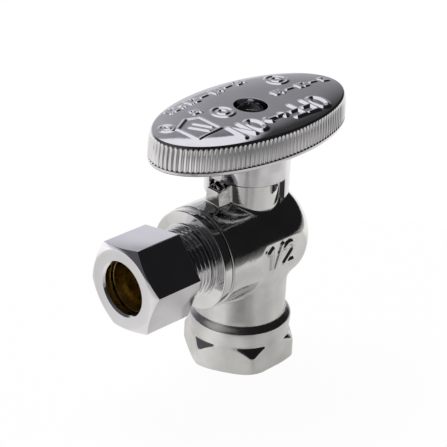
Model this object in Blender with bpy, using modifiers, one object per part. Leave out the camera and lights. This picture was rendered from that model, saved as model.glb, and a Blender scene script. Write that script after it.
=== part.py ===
"""Quarter-turn angle stop valve: pipe thread inlet below, tube compression outlet at the side.

Metres, +Z up. The stem axis is the world Z axis, the inlet face lies on z = 0 and the outlet points
along -Y. The handle is shown open, parallel to the outlet.
"""

import math

import bmesh
import bpy

MM = 0.001

# Fits
GAP = 0.25 * MM  # between pieces that rest on each other
RUNNING_GAP = 0.2 * MM  # around pieces that turn or slide
STEPS = 36  # facets of a turned surface
THREAD_STEPS = 24  # facets of a threaded surface

# Inlet: female pipe thread, 14 turns per inch, in a hexagon with a round collar above it
INLET_HEX_FLATS = 25.0 * MM
INLET_HEX_TOP = 7.8 * MM  # inside the collar
INLET_HEX_CORNER_TOP = 5.4 * MM
COLLAR_LOW = INLET_HEX_TOP - 0.7 * MM
INLET_FACE_RADIUS = 13.2 * MM
INLET_FACE_CHAMFER = 0.7 * MM
COLLAR_RADIUS = INLET_HEX_FLATS / 2 + 0.25 * MM
COLLAR_TOP = 11.6 * MM
NECK_RADIUS = COLLAR_RADIUS - 1.5 * MM
SHOULDER_HEIGHT = 1.4 * MM
INLET_PITCH = 25.4 / 14 * MM
INLET_THREAD_DEPTH = 13.0 * MM
INLET_MAJOR_RADIUS = 10.6 * MM  # at the mouth
INLET_MINOR_RADIUS = 9.55 * MM
INLET_TAPER = 1 / 32  # change of radius per unit of depth
INLET_BORE_RADIUS = 8.4 * MM
INLET_BORE_TOP = 18.5 * MM
WATERWAY_RADIUS = 4.2 * MM

# Ball and its two ring seats
OUTLET_HEIGHT = 32.0 * MM
BALL_RADIUS = 7.5 * MM
BALL_PORT_RADIUS = 3.7 * MM
BALL_TOP = OUTLET_HEIGHT + BALL_RADIUS
TONGUE_WIDTH = 3.0 * MM
TONGUE_LENGTH = 8.0 * MM
TONGUE_DEPTH = 2.3 * MM
SEAT_FACE_RADIUS = BALL_RADIUS - 1.1 * MM
SEAT_LENGTH = 3.6 * MM
SEAT_NEAR = math.sqrt((BALL_RADIUS + GAP) ** 2 - SEAT_FACE_RADIUS**2)
SEAT_FAR = SEAT_NEAR + SEAT_LENGTH

# Barrel: lies along the outlet axis, its distances are from the stem axis
CAVITY_RADIUS = BALL_RADIUS + 0.7 * MM
CAVITY_BACK = SEAT_FAR + GAP
ADAPTER_SPIGOT_RADIUS = CAVITY_RADIUS + 1.2 * MM
ADAPTER_SPIGOT_END = SEAT_FAR + GAP
SEAL_RECESS_RADIUS = ADAPTER_SPIGOT_RADIUS + 1.8 * MM
SEAL_RECESS_DEPTH = 1.3 * MM
BARREL_RADIUS = SEAL_RECESS_RADIUS + 1.45 * MM
BARREL_FRONT = 15.6 * MM
BARREL_BACK = 16.75 * MM
DOME_RADIUS = BARREL_RADIUS + 1.15 * MM
DOME_RINGS = 6

# Stem: flange under a thrust washer in the body's pocket, square drive above
STEM_RADIUS = 3.7 * MM
STEM_FLANGE_RADIUS = STEM_RADIUS + 1.5 * MM
STEM_FLANGE_HEIGHT = 1.1 * MM
STEM_WASHER_HEIGHT = 0.6 * MM
STEM_POCKET_RADIUS = STEM_FLANGE_RADIUS + 0.3 * MM
STEM_POCKET_TOP = BALL_TOP + 2.8 * MM
DRIVE_SIDE = 5.2 * MM
O_RING_SECTION = 0.6 * MM
O_RING_MIDDLE = STEM_RADIUS - 0.5 * MM
O_RING_GROOVE_RADIUS = O_RING_MIDDLE - O_RING_SECTION - 0.1 * MM
O_RING_GROOVE_HEIGHT = 2 * O_RING_SECTION + 0.3 * MM
O_RING_HEIGHTS = (STEM_POCKET_TOP + 2.3 * MM, STEM_POCKET_TOP + 5.5 * MM)

# Stem boss and its stop lug
BARREL_TOP = OUTLET_HEIGHT + BARREL_RADIUS
BOSS_RADIUS = STEM_RADIUS + 4.0 * MM
BOSS_TOP = BARREL_TOP + 6.85 * MM
LUG_REACH = BOSS_RADIUS + 3.7 * MM
LUG_WIDTH = 4.2 * MM
LUG_TOP = BOSS_TOP - 2.0 * MM
LUG_SLOPE = 0.9 * MM

# Handle
SKIRT_BORE = BOSS_RADIUS + 1.05 * MM
SKIRT_RADIUS = SKIRT_BORE + 1.55 * MM
SKIRT_DEEP = BARREL_TOP + 0.75 * MM
SKIRT_SHALLOW = BOSS_TOP - 1.0 * MM
SKIRT_CEILING = BOSS_TOP + 0.5 * MM
STEM_TOP = SKIRT_CEILING + 7.6 * MM
WELL_RADIUS = 4.05 * MM
WELL_FLOOR = STEM_TOP + 1.8 * MM
HANDLE_BOTTOM = STEM_TOP - 0.4 * MM
HANDLE_EDGE_TOP = HANDLE_BOTTOM + 7.3 * MM
HANDLE_CROWN = HANDLE_EDGE_TOP + 1.1 * MM
CROWN_FLAT = 0.6  # share of the top that lies level with the crown
HANDLE_TOP_HALF = (14.95 * MM, 28.6 * MM)
HANDLE_FOOT_HALF = (15.3 * MM, 29.4 * MM)
HANDLE_EDGE_BEVEL = 0.4 * MM
HANDLE_LIP = 1.1 * MM
HANDLE_WALL = 2.2 * MM
HANDLE_WEB_BOTTOM = HANDLE_BOTTOM + 4.4 * MM
FLUTES = 120
FLUTE_DEPTH = 0.3 * MM
QUARTER_TURN = math.radians(90)
NOTCH_MARGIN = math.radians(1.8)

# Handle screw and its washer
SCREW_RADIUS = 1.85 * MM
SCREW_LENGTH = 10.0 * MM
SCREW_HEAD_RADIUS = WELL_RADIUS - 0.55 * MM
SCREW_HEAD_HEIGHT = 2.2 * MM
SCREW_RECESS = (0.95 * MM, 4.0 * MM, 1.3 * MM)
WASHER_RADIUS = WELL_RADIUS - 0.35 * MM
WASHER_HEIGHT = 0.7 * MM

# Outlet adapter: its distances along the outlet are from the stem axis
FLANGE_RADIUS = BARREL_RADIUS - 0.3 * MM
FLANGE_FRONT = BARREL_FRONT + 2.65 * MM
FLANGE_EDGE_RADIUS = FLANGE_RADIUS - 0.6 * MM
ADAPTER_END = FLANGE_FRONT + 14.75 * MM
OUTLET_PITCH = 25.4 / 20 * MM
SOCKET_RADIUS = 6.5 * MM
OUTLET_MAJOR_RADIUS = SOCKET_RADIUS + 2.23 * MM
OUTLET_ROOT_RADIUS = OUTLET_MAJOR_RADIUS - 0.75 * MM
OUTLET_CREST_WIDTH = 0.16 * MM
THREAD_FIRST = FLANGE_FRONT + 0.95 * MM
THREAD_LAST = ADAPTER_END - 0.7 * MM
SOCKET_FLOOR = ADAPTER_END - 8.5 * MM
FERRULE_SLOPE = 0.5  # change of radius per unit of length on both cones
SEAL_SECTION = 0.55 * MM
SEAL_MIDDLE = SEAL_RECESS_RADIUS - 0.8 * MM

# Ferrule and compression nut
FERRULE_BORE = SOCKET_RADIUS - 0.08 * MM
FERRULE_RADIUS = SOCKET_RADIUS + 1.0 * MM
FERRULE_BAND = 0.9 * MM
FERRULE_CONE = 1.4 * MM
FERRULE_TRAVEL = 0.8 * MM  # how far the nut can still be tightened
NUT_FLATS = 20.64 * MM
NUT_BACK = ADAPTER_END - 7.5 * MM
NUT_FRONT = ADAPTER_END + 6.4 * MM
NUT_BORE = SOCKET_RADIUS - 0.05 * MM
NUT_MOUTH = NUT_BORE + 0.25 * MM
NUT_FACE_RADIUS = NUT_FLATS / 2 - 0.62 * MM
NUT_CHAMFER = 1.15 * MM
NUT_MINOR_RADIUS = OUTLET_MAJOR_RADIUS - 0.38 * MM
NUT_ROLL = math.radians(10.8)


def clear_scene():
    for obj in list(bpy.data.objects):
        bpy.data.objects.remove(obj)


def new_collection(name):
    made = bpy.data.collections.new(name)
    bpy.context.scene.collection.children.link(made)
    return made


def new_material(name, colour, roughness, metallic):
    made = bpy.data.materials.new(name)
    made.use_nodes = True
    shader = made.node_tree.nodes["Principled BSDF"]
    shader.inputs["Base Color"].default_value = (*colour, 1)
    shader.inputs["Roughness"].default_value = roughness
    shader.inputs["Metallic"].default_value = metallic
    made.diffuse_color = (*colour, 1)
    return made


clear_scene()
PARTS = new_collection("angle_stop_valve")
CUTTERS = new_collection("cutters")
CUTTERS.hide_render = True

CHROME = new_material("chrome_plate", (0.78, 0.78, 0.8), 0.08, 1)
BRASS = new_material("raw_brass", (0.72, 0.52, 0.22), 0.25, 1)
STEEL = new_material("zinc_steel", (0.62, 0.63, 0.65), 0.3, 1)
SEAT_PLASTIC = new_material("white_seat_plastic", (0.92, 0.92, 0.9), 0.45, 0)
RUBBER = new_material("black_rubber", (0.02, 0.02, 0.02), 0.6, 0)


def new_axis(name, height, tilt):
    axis = bpy.data.objects.new(name, None)
    axis.location = (0, 0, height)
    axis.rotation_euler = (tilt, 0, 0)
    axis.empty_display_size = 0.01
    PARTS.objects.link(axis)
    return axis


STEM_AXIS = new_axis("stem_axis", 0, 0)
# Local +Z of this axis points along the outlet, world -Y
OUTLET_AXIS = new_axis("outlet_axis", OUTLET_HEIGHT, math.pi / 2)


def place(name, mesh, axis, material=None):
    """Adds a mesh under an axis: as a part if it has a material, as a helper shape if not."""
    obj = bpy.data.objects.new(name, mesh)
    obj.parent = axis
    if material:
        mesh.materials.append(material)
        PARTS.objects.link(obj)
    else:
        CUTTERS.objects.link(obj)
        obj.hide_render = True
        obj.display_type = "WIRE"
    return obj


def turned(name, outline, axis, material=None, ring=False, steps=STEPS):
    """Turns an outline of (radius, height), running down its outer side, about the axis.

    A ring's outline closes on itself.
    """
    mesh = bpy.data.meshes.new(name)
    points = [(radius, 0, height) for radius, height in outline]
    edges = [(i, i + 1) for i in range(len(points) - 1)]
    if ring:
        edges.append((len(points) - 1, 0))
    mesh.from_pydata(points, edges, [])
    obj = place(name, mesh, axis, material)
    screw = obj.modifiers.new("turn", "SCREW")
    screw.axis = "Z"
    screw.angle = 2 * math.pi
    screw.steps = steps
    screw.render_steps = steps
    screw.use_merge_vertices = True
    screw.merge_threshold = 1e-6
    return obj


def mesh_of(name, bm):
    bmesh.ops.recalc_face_normals(bm, faces=bm.faces)
    mesh = bpy.data.meshes.new(name)
    bm.to_mesh(mesh)
    bm.free()
    return mesh


def stack(name, rings, axis, material=None):
    """Joins rings of equal length, lowest first, into one closed solid."""
    bm = bmesh.new()
    made = [[bm.verts.new(point) for point in ring] for ring in rings]
    count = len(rings[0])
    for low, high in zip(made, made[1:]):
        for i in range(count):
            j = (i + 1) % count
            bm.faces.new((low[i], low[j], high[j], high[i]))
    bm.faces.new(made[0])
    bm.faces.new(made[-1])
    return place(name, mesh_of(name, bm), axis, material)


def prism(name, outline, low, high, axis, material=None):
    """An upright prism on an outline of (x, y) points."""
    rings = [[(x, y, height) for x, y in outline] for height in (low, high)]
    return stack(name, rings, axis, material)


def rectangle(width, length):
    x, y = width / 2, length / 2
    return [(-x, -y), (x, -y), (x, y), (-x, y)]


def hexagon(flats, turn):
    radius = flats / 2 / math.cos(math.pi / 6)
    angles = [turn + i * math.pi / 3 for i in range(6)]
    return [(radius * math.cos(a), radius * math.sin(a)) for a in angles]


def even_angles(half, count, fine=4000):
    """Angles in an oval's formula whose points lie evenly along it."""
    step = 2 * math.pi / fine
    reach = [0.0]
    for i in range(fine):
        a = step * (i + 0.5)
        reach.append(reach[-1] + math.hypot(half[0] * math.sin(a), half[1] * math.cos(a)))
    angles, i = [], 0
    for k in range(count):
        wanted = reach[-1] * k / count
        while reach[i + 1] < wanted:
            i += 1
        angles.append(step * (i + (wanted - reach[i]) / (reach[i + 1] - reach[i])))
    return angles


def oval(half, height, angles, depth=0.0):
    """A ring of an oval's points. Every second point is set in by depth, which makes flutes."""
    ring = []
    for i, a in enumerate(angles):
        inset = depth if i % 2 else 0
        x, y = (half[0] - inset) * math.cos(a), (half[1] - inset) * math.sin(a)
        ring.append((x, y, height))
    return ring


def coil(name, first, last, pitch, inner, outer, axis, taper=0.0):
    """A helical ridge. inner and outer are its (radius, half width) at the first turn."""
    bm = bmesh.new()
    count = int((last - first) / pitch * THREAD_STEPS)
    (inner_radius, inner_half), (outer_radius, outer_half) = inner, outer
    sections = []
    for i in range(count + 1):
        a = 2 * math.pi * i / THREAD_STEPS
        rise = pitch * i / THREAD_STEPS
        corners = (
            (inner_radius, -inner_half),
            (outer_radius, -outer_half),
            (outer_radius, outer_half),
            (inner_radius, inner_half),
        )
        section = []
        for radius, side in corners:
            reach = radius - taper * rise
            point = (reach * math.cos(a), reach * math.sin(a), first + rise + side)
            section.append(bm.verts.new(point))
        sections.append(section)
    for now, after in zip(sections, sections[1:]):
        for i in range(4):
            j = (i + 1) % 4
            bm.faces.new((now[i], now[j], after[j], after[i]))
    bm.faces.new(sections[0])
    bm.faces.new(sections[-1])
    return place(name, mesh_of(name, bm), axis)


def flank(radius, crest_radius, crest_width):
    """Half the width of a 60 degree thread ridge at this radius."""
    return crest_width / 2 + abs(crest_radius - radius) * math.tan(math.radians(30))


def combine(target, other, operation):
    boolean = target.modifiers.new(f"{operation.lower()} {other.name}", "BOOLEAN")
    boolean.operation = operation
    boolean.solver = "EXACT"
    boolean.object = other


def add(target, *others):
    for other in others:
        combine(target, other, "UNION")


def cut(target, *others):
    for other in others:
        combine(target, other, "DIFFERENCE")


def ring_outline(inner, outer, low, high):
    return [(inner, high), (outer, high), (outer, low), (inner, low)]


def round_outline(middle, section, height, count=8):
    """The round section of an O-ring, running down its outer side."""
    angles = [math.pi / 2 - 2 * math.pi * i / count for i in range(count)]
    return [(middle + section * math.cos(a), height + section * math.sin(a)) for a in angles]


# Valve body: neck and collar, then the hexagon, barrel, boss and lug are joined to it
shoulder_top = COLLAR_TOP + SHOULDER_HEIGHT
# The collar overhangs the hexagon's flats a little and ends in a slope inside them
collar_foot = INLET_HEX_FLATS / 2 - 0.15 * MM
body = turned(
    "valve_body",
    [
        (0, OUTLET_HEIGHT),
        (NECK_RADIUS, OUTLET_HEIGHT),
        (NECK_RADIUS, shoulder_top),
        (COLLAR_RADIUS, COLLAR_TOP),
        (COLLAR_RADIUS, COLLAR_LOW),
        (collar_foot, COLLAR_LOW - 2 * (COLLAR_RADIUS - collar_foot)),
        (collar_foot, INLET_FACE_CHAMFER),
        (0, INLET_FACE_CHAMFER),
    ],
    STEM_AXIS,
    CHROME,
)
hex_corner = INLET_HEX_FLATS / 2 / math.cos(math.pi / 6)
inlet_hex = prism("inlet_hex", hexagon(INLET_HEX_FLATS, math.pi / 6), 0, INLET_HEX_TOP, STEM_AXIS)
inlet_hex_turning = turned(
    "inlet_hex_turning",
    [
        (0, INLET_HEX_CORNER_TOP + 3 * MM),
        (collar_foot - 0.4 * MM, INLET_HEX_CORNER_TOP + 3 * MM),
        (hex_corner, INLET_HEX_CORNER_TOP),
        (hex_corner + 0.2 * MM, INLET_HEX_CORNER_TOP - 0.3 * MM),
        (hex_corner + 0.2 * MM, INLET_FACE_CHAMFER),
        (INLET_FACE_RADIUS, 0),
        (INLET_FACE_RADIUS - 0.5 * MM, -MM),
        (0, -MM),
    ],
    STEM_AXIS,
)
combine(inlet_hex, inlet_hex_turning, "INTERSECT")
dome_centre = DOME_RADIUS - BARREL_BACK
dome_start = math.acos(BARREL_RADIUS / DOME_RADIUS)
dome_angles = [dome_start + (math.pi / 2 - dome_start) * i / DOME_RINGS for i in range(DOME_RINGS)]
barrel = turned(
    "barrel",
    [(0, BARREL_FRONT), (BARREL_RADIUS - 0.4 * MM, BARREL_FRONT), (BARREL_RADIUS, BARREL_FRONT - 0.4 * MM)]
    + [(DOME_RADIUS * math.cos(a), dome_centre - DOME_RADIUS * math.sin(a)) for a in dome_angles]
    + [(0, -BARREL_BACK)],
    OUTLET_AXIS,
)
boss = turned(
    "boss",
    [
        (0, BOSS_TOP),
        (BOSS_RADIUS - 0.4 * MM, BOSS_TOP),
        (BOSS_RADIUS, BOSS_TOP - 0.4 * MM),
        (BOSS_RADIUS, OUTLET_HEIGHT + 2 * MM),
        (0, OUTLET_HEIGHT + 2 * MM),
    ],
    STEM_AXIS,
)
lug_low = BARREL_TOP - 1.5 * MM
lug_root = BOSS_RADIUS - MM
half_lug = LUG_WIDTH / 2
lug = stack(
    "stop_lug",
    [
        [(-half_lug, -LUG_REACH, lug_low), (half_lug, -LUG_REACH, lug_low)]
        + [(half_lug, -lug_root, lug_low), (-half_lug, -lug_root, lug_low)],
        [(-half_lug, -LUG_REACH, LUG_TOP - LUG_SLOPE), (half_lug, -LUG_REACH, LUG_TOP - LUG_SLOPE)]
        + [(half_lug, -lug_root, LUG_TOP), (-half_lug, -lug_root, LUG_TOP)],
    ],
    STEM_AXIS,
)
add(body, inlet_hex, barrel, boss, lug)

inlet_end_minor = INLET_MINOR_RADIUS - INLET_TAPER * INLET_THREAD_DEPTH
inlet_bore = turned(
    "inlet_bore",
    [
        (0, OUTLET_HEIGHT),
        (WATERWAY_RADIUS, OUTLET_HEIGHT),
        (WATERWAY_RADIUS, INLET_BORE_TOP + 2 * MM),
        (INLET_BORE_RADIUS, INLET_BORE_TOP),
        (INLET_BORE_RADIUS, INLET_THREAD_DEPTH + MM),
        (inlet_end_minor, INLET_THREAD_DEPTH),
        (INLET_MINOR_RADIUS, MM),
        (INLET_MAJOR_RADIUS + 0.2 * MM, 0),
        (INLET_MAJOR_RADIUS + 0.2 * MM, -MM),
        (0, -MM),
    ],
    STEM_AXIS,
    steps=THREAD_STEPS,
)
inlet_inner = INLET_MINOR_RADIUS - 0.2 * MM
inlet_thread = coil(
    "inlet_thread",
    -INLET_PITCH,
    INLET_THREAD_DEPTH - INLET_PITCH / 2,
    INLET_PITCH,
    (inlet_inner, flank(inlet_inner, INLET_MAJOR_RADIUS, INLET_PITCH / 8)),
    (INLET_MAJOR_RADIUS, INLET_PITCH / 16),
    STEM_AXIS,
    INLET_TAPER,
)
spigot_bore = ADAPTER_SPIGOT_RADIUS + GAP
spigot_floor = ADAPTER_SPIGOT_END - GAP
barrel_cavity = turned(
    "barrel_cavity",
    [
        (0, BARREL_FRONT + MM),
        (SEAL_RECESS_RADIUS, BARREL_FRONT + MM),
        (SEAL_RECESS_RADIUS, BARREL_FRONT - SEAL_RECESS_DEPTH),
        (spigot_bore, BARREL_FRONT - SEAL_RECESS_DEPTH),
        (spigot_bore, spigot_floor),
        (CAVITY_RADIUS, spigot_floor),
        (CAVITY_RADIUS, -CAVITY_BACK),
        (WATERWAY_RADIUS, -CAVITY_BACK),
        (0, -CAVITY_BACK - 2 * MM),
    ],
    OUTLET_AXIS,
)
stem_bore = turned(
    "stem_bore",
    [
        (0, BOSS_TOP + MM),
        (STEM_RADIUS + RUNNING_GAP, BOSS_TOP + MM),
        (STEM_RADIUS + RUNNING_GAP, STEM_POCKET_TOP),
        (STEM_POCKET_RADIUS, STEM_POCKET_TOP),
        (STEM_POCKET_RADIUS, OUTLET_HEIGHT),
        (0, OUTLET_HEIGHT),
    ],
    STEM_AXIS,
)
cut(body, inlet_bore, inlet_thread, barrel_cavity, stem_bore)

# Ball: elbow port from below to the outlet, slot on top for the stem's tongue
ball_rings = 12
ball = turned(
    "ball",
    [
        (BALL_RADIUS * math.sin(a), OUTLET_HEIGHT + BALL_RADIUS * math.cos(a))
        for a in (math.pi * i / ball_rings for i in range(ball_rings + 1))
    ],
    STEM_AXIS,
    CHROME,
)
inlet_port = turned(
    "inlet_port",
    [
        (0, OUTLET_HEIGHT + BALL_PORT_RADIUS * 0.6),
        (BALL_PORT_RADIUS * 0.8, OUTLET_HEIGHT + BALL_PORT_RADIUS * 0.6),
        (BALL_PORT_RADIUS, OUTLET_HEIGHT),
        (BALL_PORT_RADIUS, OUTLET_HEIGHT - BALL_RADIUS - MM),
        (0, OUTLET_HEIGHT - BALL_RADIUS - MM),
    ],
    STEM_AXIS,
    steps=24,
)
outlet_port = turned(
    "outlet_port",
    [(0, BALL_RADIUS + MM), (BALL_PORT_RADIUS, BALL_RADIUS + MM), (BALL_PORT_RADIUS, 0), (0, 0)],
    OUTLET_AXIS,
    steps=24,
)
tongue_low = BALL_TOP - TONGUE_DEPTH
ball_slot = prism(
    "ball_slot",
    rectangle(TONGUE_WIDTH + 2 * GAP, 3 * BALL_RADIUS),
    tongue_low - GAP,
    BALL_TOP + MM,
    STEM_AXIS,
)
cut(ball, inlet_port, outlet_port, ball_slot)

# Ring seats in front of and behind the ball, with a face that follows it
def seat_outline(sign):
    reach = BALL_RADIUS + GAP
    radii = (WATERWAY_RADIUS, 0.5 * (WATERWAY_RADIUS + SEAT_FACE_RADIUS), SEAT_FACE_RADIUS)
    face = [(r, math.sqrt(reach**2 - r**2)) for r in radii]
    side = CAVITY_RADIUS - GAP
    outline = face + [(side, SEAT_NEAR), (side, SEAT_FAR), (WATERWAY_RADIUS, SEAT_FAR)]
    outline = [(r, sign * y) for r, y in outline]
    return outline[::-1] if sign > 0 else outline


seat_outlet = turned("seat_outlet", seat_outline(1), OUTLET_AXIS, SEAT_PLASTIC, ring=True)
seat_rear = turned("seat_rear", seat_outline(-1), OUTLET_AXIS, SEAT_PLASTIC, ring=True)

# Stem: flange and tongue below, two ring grooves, square drive with a screw hole above
flange_top = STEM_POCKET_TOP - STEM_WASHER_HEIGHT - 2 * RUNNING_GAP
flange_low = flange_top - STEM_FLANGE_HEIGHT
drive_low = SKIRT_CEILING - GAP
stem_side = [(0, drive_low), (STEM_RADIUS, drive_low)]
for height in sorted(O_RING_HEIGHTS, reverse=True):
    half_groove = O_RING_GROOVE_HEIGHT / 2
    stem_side += [
        (STEM_RADIUS, height + half_groove),
        (O_RING_GROOVE_RADIUS, height + half_groove),
        (O_RING_GROOVE_RADIUS, height - half_groove),
        (STEM_RADIUS, height - half_groove),
    ]
stem_side += [
    (STEM_RADIUS, flange_top),
    (STEM_FLANGE_RADIUS, flange_top),
    (STEM_FLANGE_RADIUS, flange_low),
    (0, flange_low),
]
stem = turned("stem", stem_side, STEM_AXIS, BRASS)
stem_drive = prism("stem_drive", rectangle(DRIVE_SIDE, DRIVE_SIDE), drive_low - MM, STEM_TOP, STEM_AXIS)
stem_tongue = prism(
    "stem_tongue",
    rectangle(TONGUE_WIDTH, TONGUE_LENGTH),
    tongue_low,
    flange_low + 0.5 * MM,
    STEM_AXIS,
)
washer_top = WELL_FLOOR + GAP + WASHER_HEIGHT
head_low = washer_top + GAP
screw_low = head_low - SCREW_LENGTH
screw_hole = turned(
    "screw_hole",
    [
        (0, STEM_TOP + MM),
        (SCREW_RADIUS + RUNNING_GAP, STEM_TOP + MM),
        (SCREW_RADIUS + RUNNING_GAP, screw_low - GAP),
        (0, screw_low - MM),
    ],
    STEM_AXIS,
    steps=24,
)
add(stem, stem_drive, stem_tongue)
cut(stem, screw_hole)

turned(
    "stem_washer",
    ring_outline(
        STEM_RADIUS + RUNNING_GAP,
        STEM_FLANGE_RADIUS,
        flange_top + RUNNING_GAP,
        STEM_POCKET_TOP - RUNNING_GAP,
    ),
    STEM_AXIS,
    SEAT_PLASTIC,
    ring=True,
)
for node, height in zip(("stem_o_ring_lower", "stem_o_ring_upper"), O_RING_HEIGHTS):
    section = round_outline(O_RING_MIDDLE, O_RING_SECTION, height)
    turned(node, section, STEM_AXIS, RUBBER, ring=True, steps=20)

# Handle: fluted oval with a crowned top, hollow below, on a hub skirt with a stop notch
def between(share):
    low, high = HANDLE_FOOT_HALF, HANDLE_TOP_HALF
    return tuple(a + (b - a) * share for a, b in zip(low, high))


def shrunk(half, amount):
    return tuple(side - amount for side in half)


points = even_angles(HANDLE_FOOT_HALF, 2 * FLUTES)
rise = HANDLE_EDGE_TOP - HANDLE_BOTTOM
lip_share = HANDLE_LIP / rise
edge_share = 1 - HANDLE_EDGE_BEVEL / rise
top_half = shrunk(HANDLE_TOP_HALF, HANDLE_EDGE_BEVEL)
handle = stack(
    "handle",
    [
        oval(shrunk(HANDLE_FOOT_HALF, 0.3 * MM), HANDLE_BOTTOM, points),
        oval(between(0.3 * lip_share), HANDLE_BOTTOM + 0.3 * HANDLE_LIP, points),
        oval(between(lip_share), HANDLE_BOTTOM + HANDLE_LIP, points),
        oval(between(lip_share), HANDLE_BOTTOM + HANDLE_LIP + 0.2 * MM, points, FLUTE_DEPTH),
        oval(between(edge_share), HANDLE_EDGE_TOP - HANDLE_EDGE_BEVEL, points, FLUTE_DEPTH),
        oval(top_half, HANDLE_EDGE_TOP, points),
        oval(tuple(CROWN_FLAT * side for side in top_half), HANDLE_CROWN, points),
    ],
    STEM_AXIS,
    CHROME,
)
hollow_points = even_angles(HANDLE_TOP_HALF, 56)
hollow = stack(
    "handle_hollow",
    [
        oval(shrunk(HANDLE_FOOT_HALF, HANDLE_WALL), HANDLE_BOTTOM - MM, hollow_points),
        oval(shrunk(HANDLE_TOP_HALF, HANDLE_WALL), HANDLE_WEB_BOTTOM, hollow_points),
    ],
    STEM_AXIS,
)
hub = turned(
    "hub",
    [
        (0, HANDLE_WEB_BOTTOM + MM),
        (SKIRT_RADIUS, HANDLE_WEB_BOTTOM + MM),
        (SKIRT_RADIUS, SKIRT_DEEP + 0.3 * MM),
        (SKIRT_RADIUS - 0.3 * MM, SKIRT_DEEP),
        (SKIRT_BORE, SKIRT_DEEP),
        (SKIRT_BORE, SKIRT_CEILING),
        (0, SKIRT_CEILING),
    ],
    STEM_AXIS,
)
# The lug's half angle at the skirt's bore, where its side meets the notch's edge
lug_angle = math.asin(LUG_WIDTH / 2 / SKIRT_BORE)
notch_first = -math.pi / 2 - lug_angle - NOTCH_MARGIN
notch_last = -math.pi / 2 + QUARTER_TURN + lug_angle + NOTCH_MARGIN
notch_steps = 12
notch_step = (notch_last - notch_first) / notch_steps
notch_angles = [notch_first + notch_step * i for i in range(notch_steps + 1)]
notch_outer = SKIRT_RADIUS + 2 * MM
notch_inner = SKIRT_BORE - 2 * MM
notch = prism(
    "skirt_notch",
    [(notch_outer * math.cos(a), notch_outer * math.sin(a)) for a in notch_angles]
    + [(notch_inner * math.cos(a), notch_inner * math.sin(a)) for a in notch_angles[::-1]],
    SKIRT_DEEP - MM,
    SKIRT_SHALLOW,
    STEM_AXIS,
)
screw_well = turned(
    "screw_well",
    [
        (0, HANDLE_CROWN + MM),
        (WELL_RADIUS + 0.5 * MM, HANDLE_CROWN + MM),
        (WELL_RADIUS + 0.5 * MM, HANDLE_CROWN),
        (WELL_RADIUS, HANDLE_CROWN - 0.5 * MM),
        (WELL_RADIUS, WELL_FLOOR),
        (SCREW_RADIUS + GAP, WELL_FLOOR),
        (SCREW_RADIUS + GAP, STEM_TOP - 2 * MM),
        (0, STEM_TOP - 2 * MM),
    ],
    STEM_AXIS,
)
socket_side = DRIVE_SIDE + 2 * GAP
drive_socket = prism(
    "drive_socket",
    rectangle(socket_side, socket_side),
    SKIRT_CEILING - MM,
    STEM_TOP + GAP,
    STEM_AXIS,
)
cut(handle, hollow)
add(handle, hub)
cut(handle, notch, screw_well, drive_socket)

# Handle screw with a cross recess, and the washer under its head
head_top = head_low + SCREW_HEAD_HEIGHT
screw = turned(
    "handle_screw",
    [
        (0, head_top),
        (0.55 * SCREW_HEAD_RADIUS, head_top),
        (0.9 * SCREW_HEAD_RADIUS, head_top - 0.35 * SCREW_HEAD_HEIGHT),
        (SCREW_HEAD_RADIUS, head_top - 0.65 * SCREW_HEAD_HEIGHT),
        (SCREW_HEAD_RADIUS, head_low),
        (SCREW_RADIUS, head_low),
        (SCREW_RADIUS, screw_low + 0.5 * MM),
        (SCREW_RADIUS - 0.5 * MM, screw_low),
        (0, screw_low),
    ],
    STEM_AXIS,
    STEEL,
    steps=24,
)
recess_width, recess_length, recess_depth = SCREW_RECESS
recess_low = head_top - recess_depth
recess_x = prism("recess_x", rectangle(recess_length, recess_width), recess_low, head_top + MM, STEM_AXIS)
recess_y = prism("recess_y", rectangle(recess_width, recess_length), recess_low, head_top + MM, STEM_AXIS)
cut(screw, recess_x, recess_y)
turned(
    "handle_washer",
    ring_outline(SCREW_RADIUS + GAP, WASHER_RADIUS, WELL_FLOOR + GAP, washer_top),
    STEM_AXIS,
    STEEL,
    ring=True,
    steps=24,
)

# Outlet adapter: spigot in the barrel, flange, male thread, tube socket with a cone for the ferrule
flange_back = BARREL_FRONT + GAP
cone_depth = (FERRULE_RADIUS - SOCKET_RADIUS) / FERRULE_SLOPE
adapter = turned(
    "outlet_adapter",
    [
        (FERRULE_RADIUS, ADAPTER_END),
        (OUTLET_ROOT_RADIUS - 0.1 * MM, ADAPTER_END),
        (OUTLET_ROOT_RADIUS, ADAPTER_END - 0.3 * MM),
        (OUTLET_ROOT_RADIUS, FLANGE_FRONT),
        (FLANGE_EDGE_RADIUS, FLANGE_FRONT),
        (FLANGE_RADIUS, FLANGE_FRONT - 0.6 * MM),
        (FLANGE_RADIUS, flange_back + 0.3 * MM),
        (FLANGE_RADIUS - 0.3 * MM, flange_back),
        (ADAPTER_SPIGOT_RADIUS, flange_back),
        (ADAPTER_SPIGOT_RADIUS, ADAPTER_SPIGOT_END),
        (WATERWAY_RADIUS, ADAPTER_SPIGOT_END),
        (WATERWAY_RADIUS, SOCKET_FLOOR),
        (SOCKET_RADIUS, SOCKET_FLOOR),
        (SOCKET_RADIUS, ADAPTER_END - cone_depth),
    ],
    OUTLET_AXIS,
    CHROME,
    ring=True,
    steps=THREAD_STEPS,
)
male_root = OUTLET_ROOT_RADIUS - 0.1 * MM
outlet_thread = coil(
    "outlet_thread",
    THREAD_FIRST,
    THREAD_LAST,
    OUTLET_PITCH,
    (male_root, flank(male_root, OUTLET_MAJOR_RADIUS, OUTLET_CREST_WIDTH)),
    (OUTLET_MAJOR_RADIUS, OUTLET_CREST_WIDTH / 2),
    OUTLET_AXIS,
)
add(adapter, outlet_thread)
turned(
    "adapter_seal",
    round_outline(SEAL_MIDDLE, SEAL_SECTION, BARREL_FRONT - SEAL_RECESS_DEPTH / 2),
    OUTLET_AXIS,
    RUBBER,
    ring=True,
    steps=32,
)

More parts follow.
